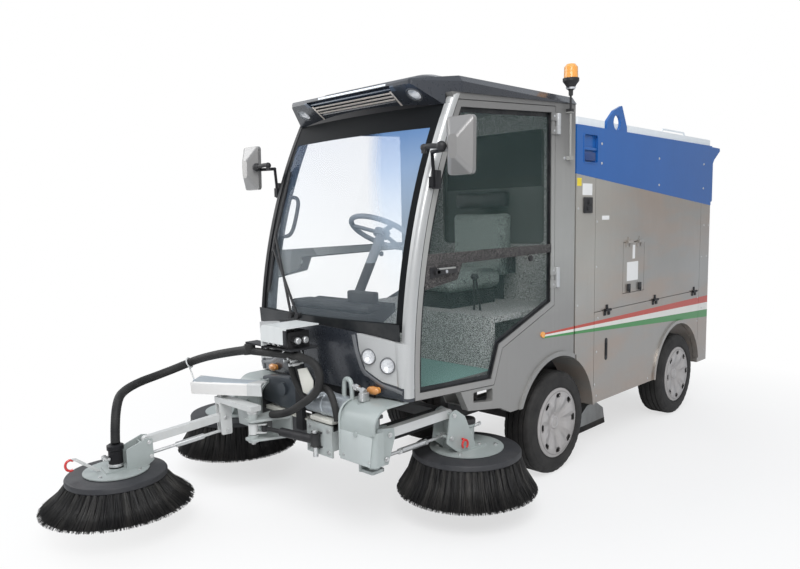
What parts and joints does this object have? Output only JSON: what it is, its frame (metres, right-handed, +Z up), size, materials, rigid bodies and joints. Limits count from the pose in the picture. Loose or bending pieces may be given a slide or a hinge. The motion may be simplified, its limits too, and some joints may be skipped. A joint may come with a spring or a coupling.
{
  "type": "compact street sweeper",
  "caption": "Compact suction street sweeper with a glazed cab, a tipping hopper, side brushes on swing arms and a third brush on a front boom.",
  "frame": {"origin": "on the floor under the middle of the parked machine's bounding box", "axes": "+X to the machine's left, +Y to its rear, +Z up; the cab faces -Y"},
  "size_m": [2.2498, 4.9146, 2.3719],
  "materials": {
    "chassis_steel": "satin dark grey paint",
    "axle_iron": "rough dark casting",
    "tyre": "black rubber",
    "cover": "silver grey moulded wheel cover",
    "mid_grey": "metallic mid-grey paint",
    "silver": "metallic silver paint",
    "graphite": "glossy graphite paint",
    "glass": "tinted glass",
    "clear_lamp": "clear lens over a reflector",
    "lens": "amber and red lenses",
    "black_plastic": "grained black plastic",
    "interior": "dark grey cab trim",
    "seat_cloth": "dark grey seat cloth",
    "steel_panel": "metallic stone-grey paint with striping",
    "blue": "blue paint",
    "pale_grey": "pale grey paint",
    "green_grey": "pale grey paint",
    "bristle": "black plastic block with black bristles",
    "hose": "black sleeved hose bundle",
    "rod_steel": "zinc plated steel",
    "engine": null
  },
  "bodies": {
    "chassis": {"chassis_frame": "chassis_steel", "axles": "axle_iron", "engine_block": "engine", "suction_mouth": "black_plastic", "cab_shell": "mid_grey", "front_frame": "silver", "nose_panel": "graphite", "cab_glass": "glass", "cab_roof": "graphite", "lamps": "clear_lamp", "marker_lamps": "lens", "beacon_pole": "black_plastic", "cab_console": "interior", "seat": "seat_cloth", "mirrors": "black_plastic", "wiper": "black_plastic", "body_shell": "steel_panel", "upper_panels": "steel_panel", "brush_guards": "green_grey", "valve_hood": "pale_grey", "valve_block": "black_plastic", "swing_cylinder": "black_plastic"},
    "knuckle_left": {"knuckle_left": "axle_iron"},
    "wheel_front_left": {"tyre_front_left": "tyre", "wheel_front_left": "cover"},
    "wheel_rear_left": {"tyre_rear_left": "tyre", "wheel_rear_left": "cover"},
    "knuckle_right": {"knuckle_right": "axle_iron"},
    "wheel_front_right": {"tyre_front_right": "tyre", "wheel_front_right": "cover"},
    "wheel_rear_right": {"tyre_rear_right": "tyre", "wheel_rear_right": "cover"},
    "door_left": {"door_frame_left": "mid_grey", "door_glass_left": "glass"},
    "skirt_left": {"skirt_left": "steel_panel"},
    "door_right": {"door_frame_right": "mid_grey", "door_glass_right": "glass"},
    "skirt_right": {"skirt_right": "steel_panel"},
    "service_hatch": {"service_hatch": "steel_panel"},
    "hopper": {"hopper": "blue", "hopper_cover": "pale_grey"},
    "tailgate": {"tailgate": "blue"},
    "side_bracket_left": {"side_bracket_left": "green_grey"},
    "side_arm_left": {"side_arm_left": "pale_grey"},
    "side_rod_left": {"side_rod_left": "rod_steel"},
    "side_head_left": {"side_head_left": "green_grey"},
    "side_brush_left": {"side_brush_left": "bristle"},
    "side_bracket_right": {"side_bracket_right": "green_grey"},
    "side_arm_right": {"side_arm_right": "pale_grey"},
    "side_rod_right": {"side_rod_right": "rod_steel"},
    "side_head_right": {"side_head_right": "green_grey"},
    "side_brush_right": {"side_brush_right": "bristle"},
    "front_boom": {"front_boom": "pale_grey", "brush_hose": "hose", "hose_elbow": "hose"},
    "front_arm": {"front_arm": "pale_grey"},
    "front_rod": {"front_rod": "rod_steel"},
    "front_head": {"front_head": "green_grey"},
    "front_brush": {"front_brush": "bristle"}
  },
  "joints": [
    {"name": "steer_left", "type": "hinge", "parent": "chassis", "child": "knuckle_left", "pos_m": [0.663, 0.02, 0.305], "axis": [0, 0, 1], "range_deg": [-28, 28]},
    {"name": "spin_front_left", "type": "hinge", "parent": "knuckle_left", "child": "wheel_front_left", "pos_m": [0.723, 0.02, 0.305], "axis": [1, 0, 0], "continuous": true},
    {"name": "spin_rear_left", "type": "hinge", "parent": "chassis", "child": "wheel_rear_left", "pos_m": [0.723, 1.71, 0.305], "axis": [1, 0, 0], "continuous": true},
    {"name": "steer_right", "type": "hinge", "parent": "chassis", "child": "knuckle_right", "pos_m": [-0.197, 0.02, 0.305], "axis": [0, 0, 1], "range_deg": [-28, 28]},
    {"name": "spin_front_right", "type": "hinge", "parent": "knuckle_right", "child": "wheel_front_right", "pos_m": [-0.257, 0.02, 0.305], "axis": [1, 0, 0], "continuous": true},
    {"name": "spin_rear_right", "type": "hinge", "parent": "chassis", "child": "wheel_rear_right", "pos_m": [-0.257, 1.71, 0.305], "axis": [1, 0, 0], "continuous": true},
    {"name": "door_left", "type": "hinge", "parent": "chassis", "child": "door_left", "pos_m": [0.828, -0.015, 1.6], "axis": [0, 0, 1], "range_deg": [0, 85]},
    {"name": "skirt_left", "type": "hinge", "parent": "chassis", "child": "skirt_left", "pos_m": [0.828, 1.286, 0.917], "axis": [0, -1, 0], "range_deg": [0, 75]},
    {"name": "door_right", "type": "hinge", "parent": "chassis", "child": "door_right", "pos_m": [-0.362, -0.015, 1.6], "axis": [0, 0, -1], "range_deg": [0, 85]},
    {"name": "skirt_right", "type": "hinge", "parent": "chassis", "child": "skirt_right", "pos_m": [-0.362, 1.286, 0.917], "axis": [0, 1, 0], "range_deg": [0, 75]},
    {"name": "service_hatch", "type": "hinge", "parent": "chassis", "child": "service_hatch", "pos_m": [0.828, 0.955, 1.34], "axis": [0, -1, 0], "range_deg": [0, 85]},
    {"name": "hopper_tip", "type": "hinge", "parent": "chassis", "child": "hopper", "pos_m": [0.233, 2.316, 1.57], "axis": [-1, 0, 0], "range_deg": [0, 50]},
    {"name": "tailgate", "type": "hinge", "parent": "hopper", "child": "tailgate", "pos_m": [0.233, 2.2993, 2.106], "axis": [1, 0, 0], "range_deg": [0, 80]},
    {"name": "side_swing_left", "type": "hinge", "parent": "chassis", "child": "side_bracket_left", "pos_m": [0.673, -1.34, 0.5], "axis": [0, 0, -1], "range_deg": [0, 64]},
    {"name": "side_lift_left", "type": "hinge", "parent": "side_bracket_left", "child": "side_arm_left", "pos_m": [0.68335, -1.27077, 0.52], "axis": [0.989, -0.1478, 0], "range_deg": [-18, 6]},
    {"name": "side_rod_left", "type": "hinge", "parent": "side_bracket_left", "child": "side_rod_left", "pos_m": [0.68039, -1.29055, 0.408], "axis": [0.989, -0.1478, 0], "range_deg": [-18, 6]},
    {"name": "side_level_left", "type": "hinge", "parent": "side_arm_left", "child": "side_head_left", "pos_m": [0.73907, -0.89791, 0.546], "axis": [0.989, -0.1478, 0], "range_deg": [-6, 18]},
    {"name": "side_spin_left", "type": "hinge", "parent": "side_head_left", "child": "side_brush_left", "pos_m": [0.75888, -0.76538, 0.33], "axis": [0, 0, 1], "continuous": true},
    {"name": "side_swing_right", "type": "hinge", "parent": "chassis", "child": "side_bracket_right", "pos_m": [-0.207, -1.34, 0.5], "axis": [0, 0, 1], "range_deg": [-64, 0]},
    {"name": "side_lift_right", "type": "hinge", "parent": "side_bracket_right", "child": "side_arm_right", "pos_m": [-0.27376, -1.31895, 0.52], "axis": [0.3007, 0.9537, 0], "range_deg": [-18, 6]},
    {"name": "side_rod_right", "type": "hinge", "parent": "side_bracket_right", "child": "side_rod_right", "pos_m": [-0.25469, -1.32496, 0.408], "axis": [0.3007, 0.9537, 0], "range_deg": [-18, 6]},
    {"name": "side_level_right", "type": "hinge", "parent": "side_arm_right", "child": "side_head_right", "pos_m": [-0.63331, -1.20558, 0.546], "axis": [0.3007, 0.9537, 0], "range_deg": [-6, 18]},
    {"name": "side_spin_right", "type": "hinge", "parent": "side_head_right", "child": "side_brush_right", "pos_m": [-0.76111, -1.16529, 0.33], "axis": [0, 0, 1], "continuous": true},
    {"name": "front_swing", "type": "hinge", "parent": "chassis", "child": "front_boom", "pos_m": [-0.002, -1.545, 0.5], "axis": [0, 0, 1], "range_deg": [-5, 80]},
    {"name": "front_lift", "type": "hinge", "parent": "front_boom", "child": "front_arm", "pos_m": [-0.287, -1.542, 0.48], "axis": [-0.9845, 0.1754, 0], "range_deg": [-18, 8], "deforming": ["brush_hose"]},
    {"name": "front_rod", "type": "hinge", "parent": "front_boom", "child": "front_rod", "pos_m": [-0.2856, -1.53412, 0.406], "axis": [-0.9845, 0.1754, 0], "range_deg": [-18, 8]},
    {"name": "front_level", "type": "hinge", "parent": "front_arm", "child": "front_head", "pos_m": [-0.35873, -1.94466, 0.43], "axis": [-0.9845, 0.1754, 0], "range_deg": [-8, 18]},
    {"name": "front_spin", "type": "hinge", "parent": "front_head", "child": "front_brush", "pos_m": [-0.38521, -2.09332, 0.29], "axis": [0, 0, 1], "continuous": true}
  ],
  "couplings": [
    {"joint": "steer_right", "follows": "steer_left", "ratio": 1},
    {"joint": "side_rod_left", "follows": "side_lift_left", "ratio": 1},
    {"joint": "side_level_left", "follows": "side_lift_left", "ratio": -1},
    {"joint": "side_rod_right", "follows": "side_lift_right", "ratio": 1},
    {"joint": "side_level_right", "follows": "side_lift_right", "ratio": -1},
    {"joint": "front_rod", "follows": "front_lift", "ratio": 1},
    {"joint": "front_level", "follows": "front_lift", "ratio": -1}
  ]
}
